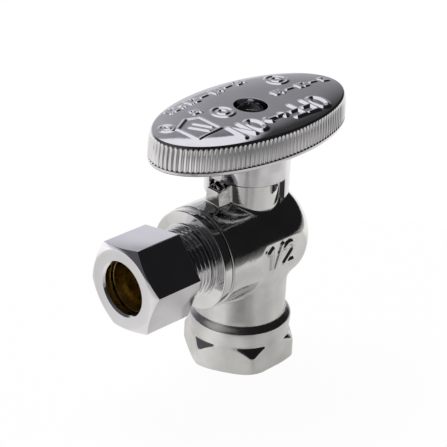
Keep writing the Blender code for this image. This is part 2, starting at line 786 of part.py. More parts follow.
# Ferrule: double cone ring between the adapter's socket and the nut
band_start = ADAPTER_END + FERRULE_TRAVEL + GAP
ferrule_start = band_start - FERRULE_CONE
band_end = band_start + FERRULE_BAND
ferrule_end = band_end + FERRULE_CONE
ferrule_tip = FERRULE_RADIUS - FERRULE_SLOPE * FERRULE_CONE
turned(
    "ferrule",
    [
        (FERRULE_BORE, ferrule_end),
        (ferrule_tip, ferrule_end),
        (FERRULE_RADIUS, band_end),
        (FERRULE_RADIUS, band_start),
        (ferrule_tip, ferrule_start),
        (FERRULE_BORE, ferrule_start),
    ],
    OUTLET_AXIS,
    BRASS,
    ring=True,
    steps=THREAD_STEPS,
)

# Compression nut: chamfered hexagon, thread cut in phase with the adapter's, cone over the ferrule
nut = prism("compression_nut", hexagon(NUT_FLATS, NUT_ROLL), NUT_BACK, NUT_FRONT, OUTLET_AXIS, CHROME)
nut_corner = NUT_FLATS / 2 / math.cos(math.pi / 6)
nut_turning = turned(
    "nut_turning",
    [
        (0, NUT_FRONT + MM),
        (NUT_FACE_RADIUS - MM, NUT_FRONT + MM),
        (NUT_FACE_RADIUS, NUT_FRONT),
        (nut_corner + 0.1 * MM, NUT_FRONT - NUT_CHAMFER),
        (nut_corner + 0.1 * MM, NUT_BACK - MM),
        (0, NUT_BACK - MM),
    ],
    OUTLET_AXIS,
    steps=48,
)
combine(nut, nut_turning, "INTERSECT")
# The nut's cone is parallel to the ferrule's, this far outside it
cone_offset = GAP * math.hypot(1, FERRULE_SLOPE)
cone_bore = band_end + (FERRULE_RADIUS + cone_offset - NUT_BORE) / FERRULE_SLOPE
cone_mouth = band_end + (FERRULE_RADIUS + cone_offset - NUT_MINOR_RADIUS) / FERRULE_SLOPE
nut_bore = turned(
    "nut_bore",
    [
        (0, NUT_FRONT + MM),
        (NUT_MOUTH, NUT_FRONT + MM),
        (NUT_MOUTH, NUT_FRONT),
        (NUT_BORE, NUT_FRONT - (NUT_MOUTH - NUT_BORE)),
        (NUT_BORE, cone_bore),
        (NUT_MINOR_RADIUS, cone_mouth),
        (NUT_MINOR_RADIUS, NUT_BACK + 0.6 * MM),
        (OUTLET_MAJOR_RADIUS + 0.4 * MM, NUT_BACK - 0.2 * MM),
        (OUTLET_MAJOR_RADIUS + 0.4 * MM, NUT_BACK - MM),
        (0, NUT_BACK - MM),
    ],
    OUTLET_AXIS,
)
tap_radius = OUTLET_MAJOR_RADIUS + RUNNING_GAP
tap_width = OUTLET_CREST_WIDTH + 2 * RUNNING_GAP
tap_inner = NUT_MINOR_RADIUS - 0.15 * MM
skipped_turns = math.floor((NUT_BACK - THREAD_FIRST) / OUTLET_PITCH) - 1
nut_tap = coil(
    "nut_tap",
    THREAD_FIRST + skipped_turns * OUTLET_PITCH,
    cone_mouth,
    OUTLET_PITCH,
    (tap_inner, flank(tap_inner, tap_radius, tap_width)),
    (tap_radius, tap_width / 2),
    OUTLET_AXIS,
)
cut(nut, nut_bore, nut_tap)
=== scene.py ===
"""Looks of the angle stop valve: finer meshes, finishes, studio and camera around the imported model.

Lengths here are millimetres in the model's frame until a mesh is made. The stem axis is Z, the
outlet points along -Y at the height OUTLET_Z, and the valve stands on its inlet face at z = 0.
"""

import math

import bmesh
import bpy
import numpy as np
from mathutils import Matrix, Vector


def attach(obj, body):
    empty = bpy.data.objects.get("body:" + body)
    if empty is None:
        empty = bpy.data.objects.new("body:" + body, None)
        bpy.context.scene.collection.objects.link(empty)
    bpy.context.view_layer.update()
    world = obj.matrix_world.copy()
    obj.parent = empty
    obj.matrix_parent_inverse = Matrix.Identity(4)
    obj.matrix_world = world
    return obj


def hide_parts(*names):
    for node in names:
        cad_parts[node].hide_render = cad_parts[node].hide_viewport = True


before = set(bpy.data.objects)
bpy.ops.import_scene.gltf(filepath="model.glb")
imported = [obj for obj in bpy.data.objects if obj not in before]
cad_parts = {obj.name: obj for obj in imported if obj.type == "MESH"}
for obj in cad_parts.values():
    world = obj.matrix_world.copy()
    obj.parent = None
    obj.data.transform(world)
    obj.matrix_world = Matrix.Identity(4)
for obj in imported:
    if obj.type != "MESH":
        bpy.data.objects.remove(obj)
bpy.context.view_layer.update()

MM = 0.001
OUTLET_Z = 32.0
PICTURE_SIZE = 447

# Camera, fitted to the photograph
CAMERA_AZIMUTH = math.radians(44.47)
CAMERA_ELEVATION = math.radians(28.22)
CAMERA_ROLL = math.radians(2.79)
CAMERA_DISTANCE = 390.04
CAMERA_SIDE = -5.05
CAMERA_HEIGHT = 35.36
CAMERA_FOCUS = 1600  # focal length in pixels
SENSOR = 36


def add_camera():
    azimuth, elevation, roll = CAMERA_AZIMUTH, CAMERA_ELEVATION, CAMERA_ROLL
    back = Vector((
        math.sin(azimuth) * math.cos(elevation),
        -math.cos(azimuth) * math.cos(elevation),
        math.sin(elevation),
    ))
    level = Vector((math.cos(azimuth), math.sin(azimuth), 0))
    upright = back.cross(level)
    right = math.cos(roll) * level + math.sin(roll) * upright
    up = -math.sin(roll) * level + math.cos(roll) * upright
    target = level * CAMERA_SIDE + Vector((0, 0, CAMERA_HEIGHT))
    data = bpy.data.cameras.new("camera")
    data.sensor_width = SENSOR
    data.lens = CAMERA_FOCUS * SENSOR / PICTURE_SIZE
    data.clip_start = 0.01
    data.clip_end = 50
    camera = bpy.data.objects.new("camera", data)
    matrix = Matrix((right, up, back)).transposed().to_4x4()
    matrix.translation = (target + back * CAMERA_DISTANCE) * MM
    camera.matrix_world = matrix
    bpy.context.scene.collection.objects.link(camera)
    bpy.context.scene.camera = camera


# Node materials


class Nodes:
    """Short calls for the node tree of a material or a world."""

    def __init__(self, owner):
        owner.use_nodes = True
        self.tree = owner.node_tree
        self.tree.nodes.clear()

    def add(self, kind, inputs=None, **settings):
        node = self.tree.nodes.new(kind)
        for key, value in settings.items():
            setattr(node, key, value)
        for key, value in (inputs or {}).items():
            if isinstance(value, bpy.types.NodeSocket):
                self.tree.links.new(value, node.inputs[key])
            else:
                node.inputs[key].default_value = value
        return node

    def math(self, operation, *values):
        node = self.add("ShaderNodeMath", dict(enumerate(values)), operation=operation)
        return node.outputs[0]

    def plus(self, a, b):
        return self.math("ADD", a, b)

    def minus(self, a, b):
        return self.math("SUBTRACT", a, b)

    def times(self, a, b):
        return self.math("MULTIPLY", a, b)

    def larger(self, a, b):
        return self.math("MAXIMUM", a, b)

    def darkened(self, light, share):
        """The light without the given share of it."""
        return self.times(light, self.minus(1.0, share))

    def along(self, vector, direction):
        node = self.add(
            "ShaderNodeVectorMath", {0: vector, 1: direction}, operation="DOT_PRODUCT"
        )
        return node.outputs["Value"]

    def step(self, value, low, high, to_low=0.0, to_high=1.0):
        limits = {"From Min": low, "From Max": high, "To Min": to_low, "To Max": to_high}
        node = self.add(
            "ShaderNodeMapRange", {"Value": value, **limits}, interpolation_type="SMOOTHSTEP"
        )
        return node.outputs[0]

    def noise(self, coordinates, scale, detail, roughness=0.5):
        node = self.add(
            "ShaderNodeTexNoise",
            {"Vector": coordinates, "Scale": scale, "Detail": detail, "Roughness": roughness},
        )
        return node.outputs[0]

    def ramp(self, value, stops):
        """A colour from two stops, each a place and a colour."""
        node = self.add("ShaderNodeValToRGB", {0: value})
        for end, (position, colour) in zip(node.color_ramp.elements, stops):
            end.position, end.color = position, (*colour, 1)
        return node.outputs[0]


BRUSHED_EDGE = 0.2  # half the fade at each end of a brushed band


def finish_material(
    name, dark, light, rough, patch_scale, grain_scale, bump, bump_height, metallic=1, brushed=None
):
    """A material with patchy colour and roughness and a fine grain in its normals.

    Between the two heights of brushed the surface is rougher by its third number.
    """
    material = bpy.data.materials.new(name)
    nodes = Nodes(material)
    place = nodes.add("ShaderNodeTexCoord").outputs["Object"]
    patches = nodes.noise(place, patch_scale, detail=4.0)
    grain = nodes.noise(place, grain_scale, detail=3.0, roughness=0.6)
    colour = nodes.ramp(patches, ((0.3, dark), (0.7, light)))
    mixed = nodes.math("MULTIPLY_ADD", grain, 0.35, -0.17)
    roughness = nodes.step(nodes.plus(patches, mixed), 0.25, 0.75, rough[0], rough[1])
    if brushed:
        low, high, extra = brushed
        edge = BRUSHED_EDGE
        height = nodes.add("ShaderNodeSeparateXYZ", {0: place}).outputs[2]
        above = nodes.step(height, (low - edge) * MM, (low + edge) * MM, 0, extra)
        below = nodes.step(height, (high - edge) * MM, (high + edge) * MM, 1, 0)
        roughness = nodes.plus(roughness, nodes.times(above, below))
    relief = nodes.add(
        "ShaderNodeBump", {"Height": grain, "Strength": bump, "Distance": bump_height * MM}
    )
    shader = nodes.add(
        "ShaderNodeBsdfPrincipled",
        {
            "Base Color": colour,
            "Metallic": metallic,
            "Roughness": roughness,
            "Normal": relief.outputs[0],
        },
    )
    nodes.add("ShaderNodeOutputMaterial", {0: shader.outputs[0]})
    return material


CHROME_CAST = finish_material(
    "chrome_on_forging", dark=(0.61, 0.61, 0.61), light=(0.73, 0.73, 0.725), rough=(0.06, 0.14),
    patch_scale=180, grain_scale=800, bump=0.45, bump_height=0.07, brushed=(11.4, 13.2, 0.22),
)
CHROME_TURNED = finish_material(
    "chrome_on_turning", dark=(0.68, 0.68, 0.69), light=(0.76, 0.76, 0.77), rough=(0.07, 0.14),
    patch_scale=220, grain_scale=1500, bump=0.12, bump_height=0.03,
)
CHROME_NUT = finish_material(
    "chrome_on_nut", dark=(0.72, 0.71, 0.745), light=(0.78, 0.77, 0.8), rough=(0.06, 0.11),
    patch_scale=160, grain_scale=1200, bump=0.08, bump_height=0.03,
)
CHROME_HANDLE = finish_material(
    "chrome_on_handle", dark=(0.66, 0.655, 0.68), light=(0.73, 0.725, 0.75), rough=(0.04, 0.09),
    patch_scale=150, grain_scale=1000, bump=0.15, bump_height=0.03,
)
# Duller plating under the handle, darkened well below real metal as painted shade
SHADED_DULL_HANDLE = finish_material(
    "dull_plate_with_painted_shade_under_handle", dark=(0.12, 0.12, 0.12), light=(0.2, 0.2, 0.2), rough=(0.4, 0.55),
    patch_scale=200, grain_scale=900, bump=0.3, bump_height=0.06,
)
CHROME_BALL = finish_material(
    "chrome_on_ball", dark=(0.62, 0.62, 0.63), light=(0.7, 0.7, 0.71), rough=(0.04, 0.08),
    patch_scale=250, grain_scale=2000, bump=0.05, bump_height=0.02,
)
BRASS = finish_material(
    "machined_brass", dark=(0.5, 0.4, 0.17), light=(0.74, 0.6, 0.29), rough=(0.2, 0.38),
    patch_scale=300, grain_scale=2200, bump=0.2, bump_height=0.04,
)
STEEL = finish_material(
    "zinc_plated_steel", dark=(0.5, 0.5, 0.51), light=(0.64, 0.64, 0.65), rough=(0.14, 0.26),
    patch_scale=420, grain_scale=2500, bump=0.25, bump_height=0.04,
)
SEAT = finish_material(
    "white_seat_plastic", dark=(0.84, 0.84, 0.82), light=(0.92, 0.92, 0.9), rough=(0.4, 0.55),
    patch_scale=200, grain_scale=1800, bump=0.15, bump_height=0.03, metallic=0,
)
RUBBER = finish_material(
    "black_rubber", dark=(0.015, 0.015, 0.015), light=(0.035, 0.034, 0.033), rough=(0.5, 0.7),
    patch_scale=260, grain_scale=2600, bump=0.3, bump_height=0.04, metallic=0,
)


# Mesh helpers


def add_piece(name, points, faces, body, nodes, materials, bands=None, crease=40):
    """Makes a mesh piece from millimetres, smooth except at creases, and rides it on a body."""
    mesh = bpy.data.meshes.new(name)
    mesh.from_pydata((np.asarray(points) * MM).tolist(), [], faces)
    for material in materials:
        mesh.materials.append(material)
    if bands is not None:
        mesh.polygons.foreach_set("material_index", np.asarray(bands, dtype=np.int32))
    work = bmesh.new()
    work.from_mesh(mesh)
    bmesh.ops.recalc_face_normals(work, faces=work.faces)
    work.to_mesh(mesh)
    work.free()
    mesh.shade_smooth()
    if crease:
        mesh.set_sharp_from_angle(angle=math.radians(crease))
    obj = bpy.data.objects.new(name, mesh)
    bpy.context.scene.collection.objects.link(obj)
    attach(obj, body)
    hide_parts(*nodes)
    return obj


def skin(rows, band_of=None):
    """Joins closed rings in turn, the last to the first.

    A ring may have a fraction of its neighbour's points. Returns points, faces and each face's
    material number, which band_of gives for a row.
    """
    points = np.concatenate(rows)
    starts = np.cumsum([0] + [len(row) for row in rows])
    faces, bands = [], []
    for k in range(len(rows)):
        m = (k + 1) % len(rows)
        first, second = (k, m) if len(rows[k]) >= len(rows[m]) else (m, k)
        fine, coarse = len(rows[first]), len(rows[second])
        ratio = fine // coarse
        band = band_of(k) if band_of else 0
        for i in range(coarse):
            side = [starts[first] + (i * ratio + j) % fine for j in range(ratio + 1)]
            faces.append([*side, starts[second] + (i + 1) % coarse, starts[second] + i])
            bands.append(band)
    return points, faces, bands


LARGEST_FILLET = 0.45  # share of an edge that the rounding of one corner may take
FILLET_STEPS = 4


def filleted(corners, steps=FILLET_STEPS):
    """A closed outline of (radius, height) with each corner (radius, height, fillet) rounded."""
    outline = []
    for i, (radius, height, fillet) in enumerate(corners):
        corner = np.array((radius, height))
        if not fillet:
            outline.append(corner)
            continue
        before = np.array(corners[i - 1][:2]) - corner
        after = np.array(corners[(i + 1) % len(corners)][:2]) - corner
        reach_before, reach_after = np.linalg.norm(before), np.linalg.norm(after)
        before, after = before / reach_before, after / reach_after
        half = math.acos(max(-1, min(1, before @ after))) / 2
        reach = min(
            fillet / math.tan(half), LARGEST_FILLET * reach_before, LARGEST_FILLET * reach_after
        )
        start, end = corner + before * reach, corner + after * reach
        for k in range(steps + 1):
            t = k / steps
            outline.append((1 - t) ** 2 * start + 2 * t * (1 - t) * corner + t * t * end)
    return outline


def about_outlet(radius, along, angles):
    """A ring about the outlet axis, along it by the given distances from the stem axis."""
    return np.stack(
        [radius * np.cos(angles), -along + 0 * angles, OUTLET_Z + radius * np.sin(angles)], axis=1
    )


def about_stem(radius, height, angles):
    """A ring about the stem axis."""
    return np.stack(
        [radius * np.cos(angles), radius * np.sin(angles), height + 0 * angles], axis=1
    )


def ring_angles(count):
    return np.arange(count) * 2 * np.pi / count


def soft_step(value, low, high):
    t = np.clip((value - low) / (high - low), 0, 1)
    return t * t * (3 - 2 * t)


def off_helix(angles, along, first, pitch):
    """Distance along the axis from the nearest turn of a right-handed helix."""
    return (along - first - pitch * angles / (2 * np.pi) + pitch / 2) % pitch - pitch / 2


# Raised figures


def arc(centre, radii, start, end, count):
    angles = np.radians(np.linspace(start, end, count))
    return [
        (centre[0] + radii[0] * math.cos(a), centre[1] + radii[1] * math.sin(a)) for a in angles
    ]


# Advance and strokes of each figure, in a box one unit high
GLYPHS = {
    "O": (0.85, [arc((0.33, 0.5), (0.33, 0.5), 0, 360, 25)]),
    "N": (0.85, [[(0.02, 0), (0.02, 1), (0.62, 0), (0.62, 1)]]),
    "F": (0.75, [[(0.02, 0), (0.02, 1), (0.58, 1)], [(0.02, 0.52), (0.48, 0.52)]]),
    "1": (0.5, [[(0.05, 0.8), (0.25, 1), (0.25, 0)]]),
    "2": (0.75, [arc((0.29, 0.71), (0.28, 0.29), 160, -40, 12) + [(0.02, 0), (0.58, 0)]]),
    "4": (0.75, [[(0.45, 0), (0.45, 1), (0.02, 0.3), (0.6, 0.3)]]),
    "/": (0.55, [[(0.02, -0.05), (0.38, 1.05)]]),
    "x": (0.65, [[(0.02, 0.05), (0.46, 0.6)], [(0.02, 0.6), (0.46, 0.05)]]),
    "-": (1.3, [[(0.1, 0.5), (1.1, 0.5)]]),
    ">": (1.3, [[(0.1, 0.5), (1.1, 0.5)], [(0.75, 0.8), (1.1, 0.5), (0.75, 0.2)]]),
    "<": (1.3, [[(0.1, 0.5), (1.1, 0.5)], [(0.45, 0.8), (0.1, 0.5), (0.45, 0.2)]]),
    " ": (0.5, []),
}


def strokes(text, start, direction, height):
    """Line segments of a text in a plane.

    It starts at a point, runs in a direction and stands to the left of it.
    """
    run = np.array(direction) / np.linalg.norm(direction)
    rise = np.array((-run[1], run[0]))
    pen, segments = 0.0, []
    for letter in text:
        advance, lines = GLYPHS[letter]
        for line in lines:
            spots = [np.array(start) + height * ((pen + u) * run + v * rise) for u, v in line]
            segments += list(zip(spots, spots[1:]))
        pen += advance
    return segments


def outline_segments(points, closed=True):
    spots = [np.array(point, dtype=float) for point in points]
    return list(zip(spots, spots[1:] + spots[:1])) if closed else list(zip(spots, spots[1:]))


def stroke_distance(u, v, segments):
    """Distance of points in a plane from the nearest segment."""
    best = np.full(np.shape(u), 1e3)
    for start, end in segments:
        run = end - start
        length = max(run @ run, 1e-9)
        t = np.clip(((u - start[0]) * run[0] + (v - start[1]) * run[1]) / length, 0, 1)
        best = np.minimum(best, np.hypot(u - start[0] - t * run[0], v - start[1] - t * run[1]))
    return best


# Solids from distance fields


def blend_max(a, b, width):
    """The larger of two fields, rounded over a width where they meet."""
    mix = np.clip(0.5 + 0.5 * (a - b) / width, 0, 1)
    return b * (1 - mix) + a * mix + width * mix * (1 - mix)


def blend_min(a, b, width):
    return -blend_max(-a, -b, width)


def tube(radius, along, reach, low, high):
    """Field of a cylinder: distance from its axis, place along it, its radius and ends."""
    return np.maximum(radius - reach, np.abs(along - (low + high) / 2) - (high - low) / 2)


SETTLE_ROUNDS = 5
SETTLE_STEP = 0.02
SETTLE_REACH = 0.4  # largest move in a round, as a share of a cell


def net(field, low, high, cell):
    """Quads over the zero level of a field.

    They have one point in each cell that the level crosses, moved onto the level.
    """
    axes = [np.arange(a, b + cell, cell) for a, b in zip(low, high)]
    values = field(*np.meshgrid(*axes, indexing="ij"))
    inside = values < 0
    corner_sum = np.zeros([n - 1 for n in values.shape], dtype=int)
    offsets = [(i, j, k) for i in (0, 1) for j in (0, 1) for k in (0, 1)]
    shape = corner_sum.shape
    for i, j, k in offsets:
        corner_sum += inside[i:i + shape[0], j:j + shape[1], k:k + shape[2]]
    crossed = (corner_sum > 0) & (corner_sum < 8)
    number = np.full(shape, -1)
    number[crossed] = np.arange(crossed.sum())
    cells = np.argwhere(crossed)
    total, weight = np.zeros((len(cells), 3)), np.zeros((len(cells), 1))
    for a in offsets:
        for axis in range(3):
            if a[axis]:
                continue
            b = list(a)
            b[axis] = 1
            va = values[tuple((cells + a).T)]
            vb = values[tuple((cells + b).T)]
            hit = (va < 0) != (vb < 0)
            share = np.where(hit, va / np.where(hit, va - vb, 1), 0)
            spot = cells + np.array(a, dtype=float)
            spot[:, axis] += share
            total += spot * hit[:, None]
            weight += hit[:, None]
    points = np.array(low) + total / weight * cell
    faces = []
    for axis in range(3):
        one = np.moveaxis(inside, axis, 0)
        changed = np.argwhere(np.moveaxis(one[:-1] != one[1:], 0, axis))
        others = [n for n in range(3) if n != axis]
        keep = np.all(
            [(changed[:, n] > 0) & (changed[:, n] < values.shape[n] - 1) for n in others], axis=0
        )
        changed = changed[keep]
        ring = []
        for step in ((-1, -1), (0, -1), (0, 0), (-1, 0)):
            spot = changed.copy()
            spot[:, others[0]] += step[0]
            spot[:, others[1]] += step[1]
            ring.append(number[tuple(spot.T)])
        faces += np.stack(ring, axis=1).tolist()
    for _ in range(SETTLE_ROUNDS):
        value, slope = field_slope(field, points, SETTLE_STEP)
        size = np.sum(slope * slope, axis=1)
        move = (value / np.maximum(size, 0.05))[:, None] * slope
        reach = np.linalg.norm(move, axis=1, keepdims=True)
        points = points - move * np.minimum(1, SETTLE_REACH * cell / np.maximum(reach, 1e-9))
    return points, faces


def field_slope(field, points, step):
    """A field's values and slopes at points, from differences over a step."""
    value = field(*points.T)
    slope = []
    for axis in range(3):
        ahead, behind = points.copy(), points.copy()
        ahead[:, axis] += step
        behind[:, axis] -= step
        slope.append((field(*ahead.T) - field(*behind.T)) / (2 * step))
    return value, np.stack(slope, axis=1)


def set_field_normals(obj, field, step):
    """Takes the shading normals from the field, so reflections don't show the mesh."""
    points = np.empty(len(obj.data.vertices) * 3)
    obj.data.vertices.foreach_get("co", points)
    slope = field_slope(field, points.reshape(-1, 3) / MM, step)[1]
    slope /= np.maximum(np.linalg.norm(slope, axis=1, keepdims=True), 1e-9)
    obj.data.normals_split_custom_set_from_vertices(slope.tolist())


# Valve body

FLANK = 1.732  # slope of the flanks of a 60 degree thread
HEX_HALF = 12.5
HEX_MIDDLE = 4.1
HEX_ROUND = 1.0
TOP_TURN_Z = 7.5
FOOT_TURN_RADIUS = 12.75
COLLAR_RADIUS = 12.53
COLLAR_SWELL = 0.27
COLLAR_UNDERCUT = 0.2
SHOULDER_STEP = 1.55
NECK_MIDDLE = 16
BARREL_RADIUS = 12.65
BARREL_FRONT = 15.6
DOME_RADIUS = 13.8
DOME_BEHIND = 2.95  # the dome's centre is this far behind the stem axis
PAD_REACH = 12.04
PAD_FADE = 0.65
BARREL_MARK = strokes("1/2", (-3.7, 29.3), (1, 0), 5.2)
MARK_REACH = 12.06
MARK_HALF_DEPTH = 0.55
MARK_HALF_WIDTH = 0.47
BOSS_RADIUS = 7.7
BOSS_MIDDLE, BOSS_HALF = 41.75, 9.75
LUG_HALF_WIDTH = 2.0
LUG_DRAFT, LUG_DRAFT_Z = 0.11, 49
LUG_PLACE, LUG_HALF_REACH = 8.7, 2.7
LUG_MIDDLE, LUG_HALF_HEIGHT = 44, 5.5
LUG_TOP = 49.5
LUG_FALL, LUG_FALL_START = 0.19, 6.7
INLET_PITCH = 1.814
INLET_MAJOR, INLET_MINOR = 10.6, 9.55
INLET_CREST_HALF = 0.113
INLET_TAPER = 32  # millimetres of depth for one of radius
INLET_THREAD_END = 12.2
INLET_MIDDLE, INLET_HALF_DEPTH = 5.5, 7.5
INLET_MOUTH = 10.8
# Radius and ends of the plain bores
STEM_AXIS_BORES = ((8.4, 5, 18.5), (4.2, 10, 32), (3.9, 36, 60), (5.5, 32, 42.3))
OUTLET_AXIS_BORES = ((11.2, 14.3, 20), (9.65, 8.15, 20), (8.2, -8.25, 20))
# Bare brass: radius and height in the inlet, radius and ends in the chamber, and its top
INLET_BRASS = (10.75, 20)
CHAMBER_BRASS = (11.5, -15.45, 9)
BRASS_TOP = 44
BODY_LOW, BODY_HIGH = (-14.9, -16.1, -0.6), (14.9, 17.1, 52.1)
BODY_CELL = 0.34

# In these fields r is the distance from the stem axis, q from the outlet axis, and s is the place
# along the outlet. Divisors of slanted planes keep the slope of a field near one.


def collar_and_neck(z, r):
    girth = COLLAR_RADIUS + COLLAR_SWELL * soft_step(z, 7.0, 10.8)
    girth = girth - SHOULDER_STEP * soft_step(z, 11.4, 13.1)
    girth = girth - COLLAR_UNDERCUT * soft_step(-z, -6.4, -5.6)
    return blend_max(r - girth, np.abs(z - NECK_MIDDLE) - NECK_MIDDLE, 0.4)


def inlet_hexagon(x, y, z, r):
    """The hexagon with its corners turned at the top and the foot."""
    hexagon = np.full(np.shape(x), -50.0)
    for turn in (0, 60, 120):
        a = math.radians(turn)
        side = np.abs(x * math.cos(a) + y * math.sin(a)) - HEX_HALF
        hexagon = blend_max(hexagon, side, HEX_ROUND)
    top_turn = ((r - HEX_HALF) * 1.35 + (z - TOP_TURN_Z)) / 1.68
    hexagon = blend_max(hexagon, top_turn, 0.4)
    foot_turn = ((r - FOOT_TURN_RADIUS) * 0.8 - z * 1.5) / 1.7
    hexagon = blend_max(hexagon, foot_turn, 0.25)
    return blend_max(hexagon, np.abs(z - HEX_MIDDLE) - HEX_MIDDLE, 0.25)


def marked_barrel(x, y, z, q, s):
    """The barrel with its domed back, and a flat pad that carries the raised mark."""
    dome = np.where(s < -DOME_BEHIND, np.sqrt(q * q + (s + DOME_BEHIND) ** 2), q) - DOME_RADIUS
    barrel = blend_max(q - BARREL_RADIUS, dome, 1.2)
    barrel = blend_max(barrel, s - BARREL_FRONT, 0.5)
    barrel = blend_max(barrel, x - PAD_REACH - PAD_FADE * soft_step(s, 3.8, 7.2), 0.08)
    figures = stroke_distance(y, z, BARREL_MARK) - MARK_HALF_WIDTH
    mark = blend_max(np.abs(x - MARK_REACH) - MARK_HALF_DEPTH, figures, 0.4)
    return blend_min(barrel, mark, 0.5)


def stop_lug(x, z, s):
    """The lug with drafted sides and a top that falls away from the boss."""
    sides = np.abs(x) - LUG_HALF_WIDTH - LUG_DRAFT * (LUG_DRAFT_Z - z)
    lug = blend_max(sides, np.abs(s - LUG_PLACE) - LUG_HALF_REACH, 0.35)
    lug = blend_max(lug, np.abs(z - LUG_MIDDLE) - LUG_HALF_HEIGHT, 0.35)
    return blend_max(lug, (z - LUG_TOP + LUG_FALL * (s - LUG_FALL_START)) * 0.98, 0.3)


def body_hollow(x, y, z, r, q, s):
    """The inlet thread, the waterway, the chamber along the outlet and the stem bore."""
    turn = off_helix(np.arctan2(y, x), z, -INLET_PITCH, INLET_PITCH)
    flank = INLET_MAJOR - FLANK * (np.abs(turn) - INLET_CREST_HALF)
    groove = np.clip(flank, INLET_MINOR, INLET_MAJOR) - z / INLET_TAPER
    groove = np.where(z < INLET_THREAD_END, groove, INLET_MINOR - z / INLET_TAPER)
    hollow = np.maximum(r - groove, np.abs(z - INLET_MIDDLE) - INLET_HALF_DEPTH)
    hollow = np.minimum(hollow, ((r - INLET_MOUTH) + z * 1.25) / 1.6)
    for radius, low, high in STEM_AXIS_BORES:
        hollow = np.minimum(hollow, tube(r, z, radius, low, high))
    for radius, low, high in OUTLET_AXIS_BORES:
        hollow = np.minimum(hollow, tube(q, s, radius, low, high))
    return hollow


def body_field(x, y, z):
    r = np.hypot(x, y)
    q = np.hypot(x, z - OUTLET_Z)
    s = -y
    # Unevenness of a forging
    waves = 0.03 * np.sin(0.55 * x + 1.3) * np.sin(0.5 * y + 0.4) * np.sin(0.45 * z + 2)
    waves += 0.012 * np.sin(1.3 * x + 0.7 * z) * np.sin(1.1 * y - 0.9 * z)
    solid = blend_min(collar_and_neck(z, r), inlet_hexagon(x, y, z, r), 0.3)
    solid = blend_min(solid, marked_barrel(x, y, z, q, s), 1.4)
    boss = blend_max(r - BOSS_RADIUS, np.abs(z - BOSS_MIDDLE) - BOSS_HALF, 0.6)
    solid = blend_min(solid, boss, 0.7)
    solid = blend_min(solid, stop_lug(x, z, s), 0.5) + waves
    solid = blend_max(solid, -z, 0.2)
    return blend_max(solid, -body_hollow(x, y, z, r, q, s), 0.22)


def add_body():
    points, faces = net(body_field, BODY_LOW, BODY_HIGH, BODY_CELL)
    inlet_radius, inlet_top = INLET_BRASS
    chamber_radius, chamber_front, chamber_back = CHAMBER_BRASS
    brass = []
    for face in faces:
        x, y, z = points[face].mean(axis=0)
        in_inlet = math.hypot(x, y) < inlet_radius and z < inlet_top
        in_chamber = math.hypot(x, z - OUTLET_Z) < chamber_radius
        in_chamber = in_chamber and chamber_front < y < chamber_back
        brass.append(int((in_inlet or in_chamber) and z < BRASS_TOP))
    body = add_piece(
        "valve_body_forging", points, faces, "body", ["valve_body"],
        [CHROME_CAST, BRASS], brass, crease=0,
    )
    set_field_normals(body, body_field, 0.06)


# Outlet adapter, ferrule and nut

THREAD_FIRST = 19.2
THREAD_PITCH = 1.27
ADAPTER_POINTS = 192
ADAPTER_END = 33.0
ADAPTER_ROOT, ADAPTER_CREST = 7.98, 8.73
ADAPTER_CREST_HALF = 0.16
ADAPTER_THREAD_START, ADAPTER_THREAD_END = 19.0, 32.75
RING_RADIUS, RING_FRONT = 9.3, 18.9
FLANGE_RADIUS, FLANGE_FRONT, FLANGE_BACK = 12.35, 18.25, 15.66
SPIGOT_RADIUS, SPIGOT_END = 9.4, 8.4
WATERWAY = 4.2
SOCKET_RADIUS, SOCKET_FLOOR, SOCKET_CONE = 6.5, 24.5, 31.0


def add_adapter():
    angles = ring_angles(ADAPTER_POINTS)
    end = [(7.5, ADAPTER_END, 0.08), (7.9, ADAPTER_END, 0.1), (ADAPTER_ROOT, 32.85, 0.05)]
    rows = [about_outlet(radius, along, angles) for radius, along in filleted(end)]
    for along in np.arange(ADAPTER_THREAD_END, ADAPTER_THREAD_START, -0.09):
        turn = off_helix(angles, along, THREAD_FIRST, THREAD_PITCH)
        flank = ADAPTER_CREST - FLANK * (np.abs(turn) - ADAPTER_CREST_HALF)
        ridge = np.clip(flank, ADAPTER_ROOT, ADAPTER_CREST) - ADAPTER_ROOT
        fade = soft_step(along, ADAPTER_THREAD_START, 19.4) * soft_step(-along, -32.5, -31.7)
        rows.append(about_outlet(ADAPTER_ROOT + ridge * fade, along, angles))
    plated = [
        (ADAPTER_ROOT, RING_FRONT, 0.04), (RING_RADIUS, RING_FRONT, 0.15),
        (RING_RADIUS, FLANGE_FRONT, 0.08), (FLANGE_RADIUS, FLANGE_FRONT, 0.4),
        (FLANGE_RADIUS, 15.95, 0.1), (12.1, FLANGE_BACK, 0.08), (SPIGOT_RADIUS, FLANGE_BACK, 0.1),
    ]
    bare = [
        (SPIGOT_RADIUS, SPIGOT_END, 0.15), (WATERWAY, SPIGOT_END, 0.15),
        (WATERWAY, SOCKET_FLOOR, 0.15), (SOCKET_RADIUS, SOCKET_FLOOR, 0.2),
        (SOCKET_RADIUS, SOCKET_CONE, 0.2),
    ]
    first_brass = len(rows) + len(plated) * (FILLET_STEPS + 1)
    rows += [about_outlet(radius, along, angles) for radius, along in filleted(plated + bare)]
    points, faces, bands = skin(rows, lambda row: int(row >= first_brass))
    add_piece(
        "outlet_adapter_turning", points, faces, "body", ["outlet_adapter"],
        [CHROME_TURNED, BRASS], bands,
    )


FERRULE_POINTS = 144
FERRULE_BORE, FERRULE_EDGE, FERRULE_RADIUS = 6.42, 6.8, 7.5
BAND_START, BAND_END = 34.05, 34.95
FERRULE_CONE = 1.4


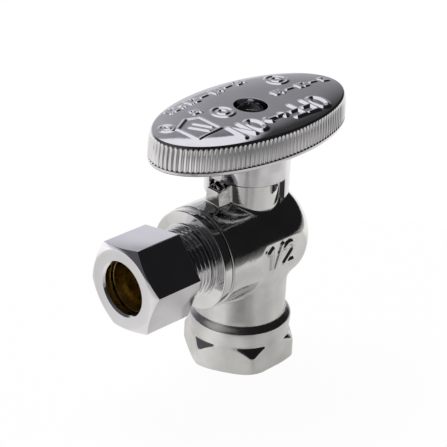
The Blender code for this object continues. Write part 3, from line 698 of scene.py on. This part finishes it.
def add_ferrule():
    angles = ring_angles(FERRULE_POINTS)
    front, back = BAND_END + FERRULE_CONE, BAND_START - FERRULE_CONE
    outline = filleted([
        (FERRULE_BORE, front, 0.1), (FERRULE_EDGE, front, 0.12), (FERRULE_RADIUS, BAND_END, 0.15),
        (FERRULE_RADIUS, BAND_START, 0.15), (FERRULE_EDGE, back, 0.12), (FERRULE_BORE, back, 0.1),
    ])
    rows = [about_outlet(radius, along, angles) for radius, along in outline]
    points, faces, _ = skin(rows)
    add_piece("ferrule_ring", points, faces, "ferrule", ["ferrule"], [BRASS])


NUT_POINTS = 720
NUT_HALF = 10.32
NUT_BACK, NUT_FRONT = 25.5, 39.4
NUT_ROLL = math.radians(10.8)
NUT_SHARPNESS = 140  # power that rounds the hexagon's corners
NUT_FACE_RADIUS = 9.7
NUT_CHAMFER = 1.15  # how far the chamfer falls towards a corner
NUT_CORNER_REACH = 2.317
NUT_BORE = 6.45
NUT_MINOR, NUT_MAJOR, NUT_LEAD_IN = 8.35, 8.93, 8.98
NUT_GROOVE_HALF = 0.28
NUT_THREAD_START, NUT_THREAD_END = 25.75, 33.75
NUT_FILLET_STEPS = 3


def add_nut():
    angles = ring_angles(NUT_POINTS)
    normals = NUT_ROLL + np.pi / 6 + np.arange(6) * np.pi / 3
    facing = np.maximum(np.cos(angles[:, None] - normals[None, :]), 0)
    reach = NUT_HALF / np.sum(facing ** NUT_SHARPNESS, axis=1) ** (1 / NUT_SHARPNESS)
    columns = []
    for radius in reach:
        edge = NUT_FRONT - NUT_CHAMFER * (radius - NUT_FACE_RADIUS) / NUT_CORNER_REACH
        columns.append(filleted([
            (NUT_BORE, 38.85, 0.1), (6.95, NUT_FRONT, 0.1), (NUT_FACE_RADIUS, NUT_FRONT, 0.15),
            (radius, edge, 0.12), (radius, NUT_BACK, 0.15), (9.13, NUT_BACK, 0.1),
            (NUT_LEAD_IN, 25.68, 0.05),
        ], NUT_FILLET_STEPS))
    outlines = np.moveaxis(np.array(columns), 1, 0)
    rows = [about_outlet(outline[:, 0], outline[:, 1], angles) for outline in outlines]
    first_brass = len(rows)
    for along in np.arange(NUT_THREAD_START, NUT_THREAD_END, 0.12):
        turn = off_helix(angles, along, THREAD_FIRST, THREAD_PITCH)
        flank = NUT_MAJOR - FLANK * (np.abs(turn) - NUT_GROOVE_HALF)
        groove = np.clip(flank, NUT_MINOR, NUT_MAJOR) - NUT_MINOR
        depth = groove * soft_step(-along, -33.6, -33.0)
        ridge = (NUT_LEAD_IN - NUT_MINOR - depth) * soft_step(along, NUT_THREAD_START, 26.7)
        rows.append(about_outlet(NUT_LEAD_IN - ridge, along, angles))
    inner = [(NUT_MINOR, 33.81, 0.1), (NUT_BORE, 37.61, 0.15), (NUT_BORE, 38.65, 0)]
    inner = filleted(inner, NUT_FILLET_STEPS)
    rows += [about_outlet(radius, along, angles) for radius, along in inner]
    points, faces, bands = skin(rows, lambda row: int(row >= first_brass))
    add_piece(
        "compression_nut_hexagon", points, faces, "nut", ["compression_nut"],
        [CHROME_NUT, BRASS], bands,
    )


# Handle

FLUTES = 120
FLUTE_POINTS = 6
FLUTE_DEPTH = 0.32
FOOT_Z, EDGE_Z = 59.2, 66.5
TOP_HALF = np.array((14.95, 28.6))
FOOT_HALF = np.array((15.275, 29.35))
TOP_INSET = 0.48
EDGE_ROUND = 1.2
EDGE_RINGS = 10
CROWN_RISE = 0.65
CROWN_RINGS = 94
MARK_SLOPE = 0.46
MARK_FLAT = 0.88  # share of a mark's half width that rises
HIGHEST = 67.57
WELL_MOUTH = 4.15
WELL_RADIUS, WELL_FLOOR = 4.05, 61.4
SCREW_HOLE = 2.1
SQUARE_HALF = 2.85
CEILING_Z = 52.0
SKIRT_BORE, SKIRT_RADIUS = 8.75, 10.3
DEEP_Z, NOTCH_Z = 45.4, 50.5
NOTCH = (math.radians(-106.4), math.radians(16.4))
WALL = 2.2

# Half width, then text, start, direction and height, in the plane of the handle's top
WIDE_MARK = 0.9
WIDE_TEXT = (
    ("OFF", (5.7, 16.0), (0, -1), 5.5),
    ("<>", (7.0, 3.4), (0, -1), 2.9),
    ("ON", (5.7, -5.0), (0, -1), 5.5),
)
FINE_MARK = 0.55
FINE_TEXT = (
    ("1/2 x 1/2 - 1/4 - 24", (-8.6, -18.2), (-0.08, 1), 2.1),
    ("1/4 - 1/2 - 12", (-0.4, 8.6), (0.06, 1), 1.9),
    ("24", (-4.6, -13.9), (0.05, 1), 1.7),
)
DOUBLE_RINGS = (((-7.0, 15.8), 2.7), ((-1.3, -7.9), 2.6), ((-3.3, -23.6), 1.7))
PENTAGON = ((-1.2, -22.3), (-3.8, -17.5), (-2.6, -14.1), (4.7, -14.2), (5.4, -22.0))
PENTAGON_BARS = (((0.0, -19.6), (4.0, -17.4)), ((-0.8, -17.6), (3.0, -15.6)))


def even_oval_angles(half, count):
    """Parameter angles of points spaced evenly along an oval."""
    fine = np.linspace(0, 2 * np.pi, 20001)
    spots = np.stack([half[0] * np.cos(fine), half[1] * np.sin(fine)], axis=1)
    length = np.concatenate([[0], np.cumsum(np.linalg.norm(np.diff(spots, axis=0), axis=1))])
    return np.interp(np.arange(count) / count * length[-1], length, fine)


def handle_marks():
    """Plain raised figures and frames: (segments, half width) in the plane of the handle's top."""
    wide, fine = [], []
    for text in WIDE_TEXT:
        wide += strokes(*text)
    for text in FINE_TEXT:
        fine += strokes(*text)
    for centre, radius in DOUBLE_RINGS:
        for share, count in ((1, 28), (0.45, 16)):
            reach = share * radius
            fine += outline_segments([
                (centre[0] + reach * math.cos(a), centre[1] + reach * math.sin(a))
                for a in ring_angles(count)
            ])
    fine += outline_segments(PENTAGON)
    for bar in PENTAGON_BARS:
        fine += outline_segments(bar, closed=False)
    return [(wide, WIDE_MARK), (fine, FINE_MARK)]


def handle_top(x, y, marks):
    """Heights of the crowned top with its raised figures."""
    across = (x / (TOP_HALF[0] - TOP_INSET)) ** 2 + (y / (TOP_HALF[1] - TOP_INSET)) ** 2
    height = EDGE_Z + CROWN_RISE * (1 - across ** 3)
    raised = np.zeros_like(x)
    for segments, half_width in marks:
        distance = stroke_distance(x, y, segments)
        ridge = np.clip(half_width - distance, 0, MARK_FLAT * half_width)
        raised = np.maximum(raised, MARK_SLOPE * ridge)
    return np.minimum(height + raised, HIGHEST)


def oval(height, inset, at):
    """A ring of the handle's side at a height, moved inwards along its normals."""
    share = (min(height, EDGE_Z) - FOOT_Z) / (EDGE_Z - FOOT_Z)
    half = FOOT_HALF + (TOP_HALF - FOOT_HALF) * share ** 3
    normal = np.stack([np.cos(at) / half[0], np.sin(at) / half[1]], axis=1)
    normal /= np.linalg.norm(normal, axis=1, keepdims=True)
    spots = np.stack([half[0] * np.cos(at), half[1] * np.sin(at)], axis=1)
    spots = spots - normal * np.reshape(inset, (-1, 1))
    return np.column_stack([spots, np.full(len(at), height)])


def add_handle():
    count = FLUTES * FLUTE_POINTS
    angles = even_oval_angles((TOP_HALF + FOOT_HALF) / 2, count)
    coarse = angles[::3]
    flute = FLUTE_DEPTH * (0.5 - 0.5 * np.cos(2 * np.pi * np.arange(count) / FLUTE_POINTS))
    marks = handle_marks()
    # Underside of the foot and lip, then the fluted side and the rounded top edge
    lip = ((0, 0.5), (0.06, 0.2), (0.25, 0.03), (0.45, 0), (0.85, 0))
    rows = [oval(FOOT_Z + lift, inset, angles) for lift, inset in lip]
    flute_ends = ((60.12, 0.0), (60.18, 0.5), (60.26, 0.95))
    flute_sides = ((60.6, 1), (61.8, 1), (63.0, 1), (64.2, 1))
    rows += [oval(height, flute * share, angles) for height, share in flute_ends + flute_sides]
    for k in range(EDGE_RINGS):
        turn = k / EDGE_RINGS * math.pi / 2
        height = EDGE_Z - EDGE_ROUND * (1 - math.sin(turn))
        inset = TOP_INSET * (1 - math.cos(turn)) + flute * max(0, 1 - k / 4)
        rows.append(oval(height, inset, angles))
    # Crowned top, from the oval edge to the round well
    edge = oval(EDGE_Z, TOP_INSET, angles)[:, :2]
    well = WELL_MOUTH * np.stack([np.cos(angles), np.sin(angles)], axis=1)
    for k in range(CROWN_RINGS + 1):
        share = k / CROWN_RINGS
        spots = edge * (1 - share) + well * share
        rows.append(np.column_stack([spots, handle_top(spots[:, 0], spots[:, 1], marks)]))
    # Screw well, screw hole, square socket, ceiling of the skirt
    brim = handle_top(WELL_MOUTH * np.cos(coarse), WELL_MOUTH * np.sin(coarse), marks)
    square = SQUARE_HALF / np.maximum(np.abs(np.cos(coarse)), np.abs(np.sin(coarse)))
    profile = [
        (WELL_MOUTH - 0.03, brim - 0.01), (WELL_MOUTH - 0.08, brim - 0.06),
        (WELL_MOUTH - 0.1, brim - 0.2), (WELL_RADIUS, 64.5), (WELL_RADIUS, 61.7),
        (3.85, 61.42), (3.6, WELL_FLOOR), (2.2, WELL_FLOOR), (SCREW_HOLE, 61.3),
        (SCREW_HOLE, 59.86), (square, 59.85), (square, 52.2), (square + 0.2, CEILING_Z),
        (8.5, CEILING_Z), (SKIRT_BORE, 51.75),
    ]
    # End of the skirt, higher in the notch, and its outside
    whole = 2 * np.pi
    in_notch = (coarse % whole > NOTCH[0] % whole) | (coarse < NOTCH[1])
    low = np.where(in_notch, NOTCH_Z, DEEP_Z)
    profile += [
        (SKIRT_BORE, low + 0.35), (8.8, low + 0.1), (9.0, low), (10.0, low), (10.2, low + 0.08),
        (SKIRT_RADIUS, low + 0.35), (SKIRT_RADIUS, 54.0), (SKIRT_RADIUS, 58.0),
        (SKIRT_RADIUS, 62.6), (SKIRT_RADIUS, 63.1), (10.38, 63.4), (10.62, 63.57),
    ]
    rows += [about_stem(radius, height, coarse) for radius, height in profile]
    # Hollow underside, dull plating darkened with painted shade from the web on
    first_shaded_dull = len(rows) - 2
    underside = (
        (63.6, 2.9), (63.5, 2.4), (63.1, WALL), (FOOT_Z + 0.3, WALL), (FOOT_Z + 0.08, 2.1),
        (FOOT_Z, 1.85),
    )
    rows += [oval(height, inset, coarse) for height, inset in underside]
    points, faces, bands = skin(rows, lambda row: int(row >= first_shaded_dull))
    add_piece(
        "handle_casting", points, faces, "handle", ["handle"],
        [CHROME_HANDLE, SHADED_DULL_HANDLE], bands, crease=50,
    )


# Handle screw and washer

HEAD_LOW, HEAD_TOP, SCREW_LOW = 62.6, 64.8, 52.6
HEAD_RADIUS = 3.5
HEAD_DOME, HEAD_DOME_CENTRE = 6.5, 58.3
SHANK_RADIUS, SHANK_TIP = 1.85, 1.5
CROSS_HALF_WIDTH, CROSS_HALF_LENGTH = 0.45, 1.95
CROSS_FLOOR = 63.5
SCREW_BOX_LOW, SCREW_BOX_HIGH = (-3.8, -3.8, 52.3), (3.8, 3.8, 65.1)
SCREW_CELL = 0.12
WASHER_POINTS = 96
WASHER_BORE, WASHER_RADIUS = 2.1, 3.7
WASHER_LOW, WASHER_TOP = 61.65, 62.35


def screw_field(x, y, z):
    r = np.hypot(x, y)
    dome = np.sqrt(r * r + (z - HEAD_DOME_CENTRE) ** 2) - HEAD_DOME
    head = blend_max(tube(r, z, HEAD_RADIUS, HEAD_LOW, HEAD_TOP), dome, 0.3)
    shank = tube(r, z, SHANK_RADIUS, SCREW_LOW, HEAD_LOW + 0.5)
    shank = blend_max(shank, (r - SHANK_TIP - (z - SCREW_LOW)) * 0.7, 0.2)
    solid = blend_min(head, shank, 0.15)
    arm_x = np.maximum(np.abs(y) - CROSS_HALF_WIDTH, np.abs(x) - CROSS_HALF_LENGTH)
    arm_y = np.maximum(np.abs(x) - CROSS_HALF_WIDTH, np.abs(y) - CROSS_HALF_LENGTH)
    cross = blend_min(arm_x, arm_y, 0.25)
    cross = np.maximum(cross, CROSS_FLOOR - z + 0.25 * r)
    return blend_max(solid, -cross, 0.12)


def add_screw():
    points, faces = net(screw_field, SCREW_BOX_LOW, SCREW_BOX_HIGH, SCREW_CELL)
    screw = add_piece(
        "handle_screw_pan", points, faces, "handle", ["handle_screw"], [STEEL], crease=0
    )
    set_field_normals(screw, screw_field, 0.03)
    angles = ring_angles(WASHER_POINTS)
    outline = filleted([
        (WASHER_BORE, WASHER_TOP, 0.1), (WASHER_RADIUS, WASHER_TOP, 0.15),
        (WASHER_RADIUS, WASHER_LOW, 0.12), (WASHER_BORE, WASHER_LOW, 0.1),
    ])
    points, faces, _ = skin([about_stem(radius, height, angles) for radius, height in outline])
    add_piece("handle_washer_ring", points, faces, "handle", ["handle_washer"], [STEEL])


def finish_hidden_nodes():
    """The pieces inside keep their solids and get the finishes."""
    finishes = {
        "ball": CHROME_BALL,
        "stem": BRASS,
        "seat_outlet": SEAT,
        "seat_rear": SEAT,
        "stem_washer": SEAT,
        "stem_o_ring_lower": RUBBER,
        "stem_o_ring_upper": RUBBER,
        "adapter_seal": RUBBER,
    }
    for node, material in finishes.items():
        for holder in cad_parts[node].material_slots:
            holder.material = material


# Studio: cool light from above, warm light from the floor. Its places are metres.
COOL = (0.95, 0.945, 1.0)
WARM = (1.0, 0.98, 0.95)
WHITE = (1, 1, 1)
TO_THE_RIGHT = (math.cos(CAMERA_AZIMUTH), math.sin(CAMERA_AZIMUTH), 0)
FLOOR_HALF = 6.0
FLOOR_SEEN = 0.97  # share of its glow, against its paper, for the camera and in reflections
FLOOR_MIRRORED = 0.9
# The paper's colour darkens towards the camera as painted shade
PAPER_NEAR, PAPER_FAR_SHADED = (0.86, 0.86, 0.86), (0.1, 0.1, 0.1)


def add_world():
    """A studio seen from the object.

    It has a soft box above, a pale backdrop, and a dark room at the right and behind the camera.
    """
    world = bpy.data.worlds.new("studio")
    bpy.context.scene.world = world
    nodes = Nodes(world)
    direction = nodes.add("ShaderNodeTexCoord").outputs["Generated"]
    a = CAMERA_AZIMUTH
    right = nodes.along(direction, TO_THE_RIGHT)
    ahead = nodes.along(direction, (-math.sin(a), math.cos(a), 0))
    height = nodes.along(direction, (0, 0, 1))
    box = nodes.along(direction, (-0.5 * math.sin(a), 0.5 * math.cos(a), 0.866))
    # The soft box's right edge leans outwards with height
    leaning = nodes.minus(right, nodes.times(height, 0.5))
    soft_box = nodes.step(box, 0.888, 0.902, 0, 1.1)
    soft_box = nodes.times(soft_box, nodes.step(leaning, -0.25, -0.17, 1, 0))
    # The pale backdrop ends higher towards the left
    slant = nodes.plus(right, height)
    backdrop = nodes.step(slant, 0.08, 0.24, 0.78, 0)
    backdrop = nodes.times(backdrop, nodes.step(ahead, -0.7, 0.1, 0.2, 1))
    sunk = nodes.minus(height, nodes.times(ahead, 0.2))
    backdrop = nodes.times(backdrop, nodes.step(sunk, 0.0, 0.28, 1, 0.08))
    # The wall behind the object darkens upwards and to the right
    steep = nodes.plus(height, nodes.times(right, 1.2))
    wall = nodes.step(steep, 0.15, 0.85, 0.5, 0.05)
    wall = nodes.times(wall, nodes.step(ahead, 0.3, 0.85))
    wall = nodes.times(wall, nodes.step(right, 0.2, 0.6, 1, 0.1))
    room = nodes.step(right, -0.7, 0.2, 0.1, 0.014)
    light = nodes.larger(nodes.larger(soft_box, backdrop), nodes.larger(wall, room))
    seen = nodes.add("ShaderNodeLightPath").outputs["Is Camera Ray"]
    tint = nodes.ramp(seen, ((0, COOL), (1, WHITE)))
    background = nodes.add(
        "ShaderNodeBackground", {"Color": tint, "Strength": nodes.larger(light, seen)}
    )
    nodes.add("ShaderNodeOutputWorld", {0: background.outputs[0]})


def floor_light(nodes, place):
    """Painted light and shade on the floor that reflections show, brightest at the front left and
    dark far away.
    """
    a = CAMERA_AZIMUTH
    towards = nodes.along(place, (math.sin(a), -math.cos(a), 0))
    aside = nodes.along(place, TO_THE_RIGHT)
    away = nodes.add("ShaderNodeVectorMath", {0: place}, operation="LENGTH").outputs["Value"]
    front = nodes.math("DIVIDE", towards, away)
    beside = nodes.math("DIVIDE", aside, away)
    lit = nodes.step(front, 0.1, 0.7, 0.72, 0.94)
    right_front = nodes.step(beside, 0, 0.5, 0, 0.3)
    lit = nodes.minus(lit, nodes.times(right_front, nodes.step(front, 0.1, 0.6)))
    # Painted light, brighter at the far left and behind the object, and a little at the right
    lit = nodes.plus(lit, nodes.step(aside, -0.125, -0.1, 0.25, 0))
    lit = nodes.plus(lit, nodes.step(aside, 0.05, 0.09, 0, 0.1))
    lit = nodes.plus(lit, nodes.step(towards, -0.08, -0.03, 0.3, 0))
    # Painted shade towards the camera, a painted shadow streak there, and painted shade at the far
    # right and far in front
    camera_side = nodes.step(front, 0.8, 0.98, 0, 0.42)
    camera_side = nodes.times(camera_side, nodes.step(away, 0.022, 0.036, 0.5, 1))
    lit = nodes.darkened(lit, camera_side)
    streak = nodes.step(nodes.math("ABSOLUTE", aside), 0.002, 0.015, 0.36, 0)
    lit = nodes.darkened(lit, nodes.times(streak, nodes.step(towards, 0.03, 0.04)))
    far_right = nodes.step(aside, 0.095, 0.17, 0, 0.8)
    lit = nodes.darkened(lit, nodes.times(far_right, nodes.step(towards, -0.04, 0.01)))
    lit = nodes.times(lit, nodes.step(aside, 0.2, 0.3, 1, 0.3))
    return towards, nodes.times(lit, nodes.step(towards, 0.09, 0.2, 1, 0.5))


def add_floor():
    far = FLOOR_HALF
    corners = [(-far, -far, 0), (far, -far, 0), (far, far, 0), (-far, far, 0)]
    mesh = bpy.data.meshes.new("floor")
    mesh.from_pydata(corners, [], [(0, 1, 2, 3)])
    material = bpy.data.materials.new("white_floor")
    nodes = Nodes(material)
    rays = nodes.add("ShaderNodeLightPath").outputs
    seen = rays["Is Camera Ray"]
    mirrored = nodes.larger(rays["Is Glossy Ray"], rays["Is Transmission Ray"])
    glow = nodes.plus(nodes.times(seen, FLOOR_SEEN), nodes.times(mirrored, FLOOR_MIRRORED))
    place = nodes.add("ShaderNodeTexCoord").outputs["Object"]
    towards, lit = floor_light(nodes, place)
    # Painted shade: the paper darkens towards the camera
    paper_colour_with_painted_shade = nodes.ramp(towards, ((0.1, PAPER_NEAR), (0.4, PAPER_FAR_SHADED)))
    paper = nodes.add("ShaderNodeBsdfDiffuse", {"Color": paper_colour_with_painted_shade})
    tint = nodes.ramp(seen, ((0, WARM), (1, WHITE)))
    white = nodes.add(
        "ShaderNodeEmission", {"Color": tint, "Strength": nodes.larger(seen, lit)}
    )
    mixed = nodes.add("ShaderNodeMixShader", {0: glow, 1: paper.outputs[0], 2: white.outputs[0]})
    nodes.add("ShaderNodeOutputMaterial", {0: mixed.outputs[0]})
    mesh.materials.append(material)
    floor = bpy.data.objects.new("floor", mesh)
    bpy.context.scene.collection.objects.link(floor)


def add_lamp(name, place, aim, size, power):
    data = bpy.data.lights.new(name, "AREA")
    data.shape = "DISK"
    data.size = size
    data.energy = power
    lamp = bpy.data.objects.new(name, data)
    lamp.location = place
    lamp.rotation_euler = (Vector(aim) - Vector(place)).to_track_quat("-Z", "Y").to_euler()
    lamp.visible_glossy = False
    bpy.context.scene.collection.objects.link(lamp)


add_camera()
add_world()
add_floor()
add_lamp("key", place=(-0.35, 0.05, 0.8), aim=(0, 0, 0.03), size=0.3, power=6)
add_body()
add_adapter()
add_ferrule()
add_nut()
add_handle()
add_screw()
finish_hidden_nodes()
bpy.context.scene.view_settings.view_transform = "Standard"
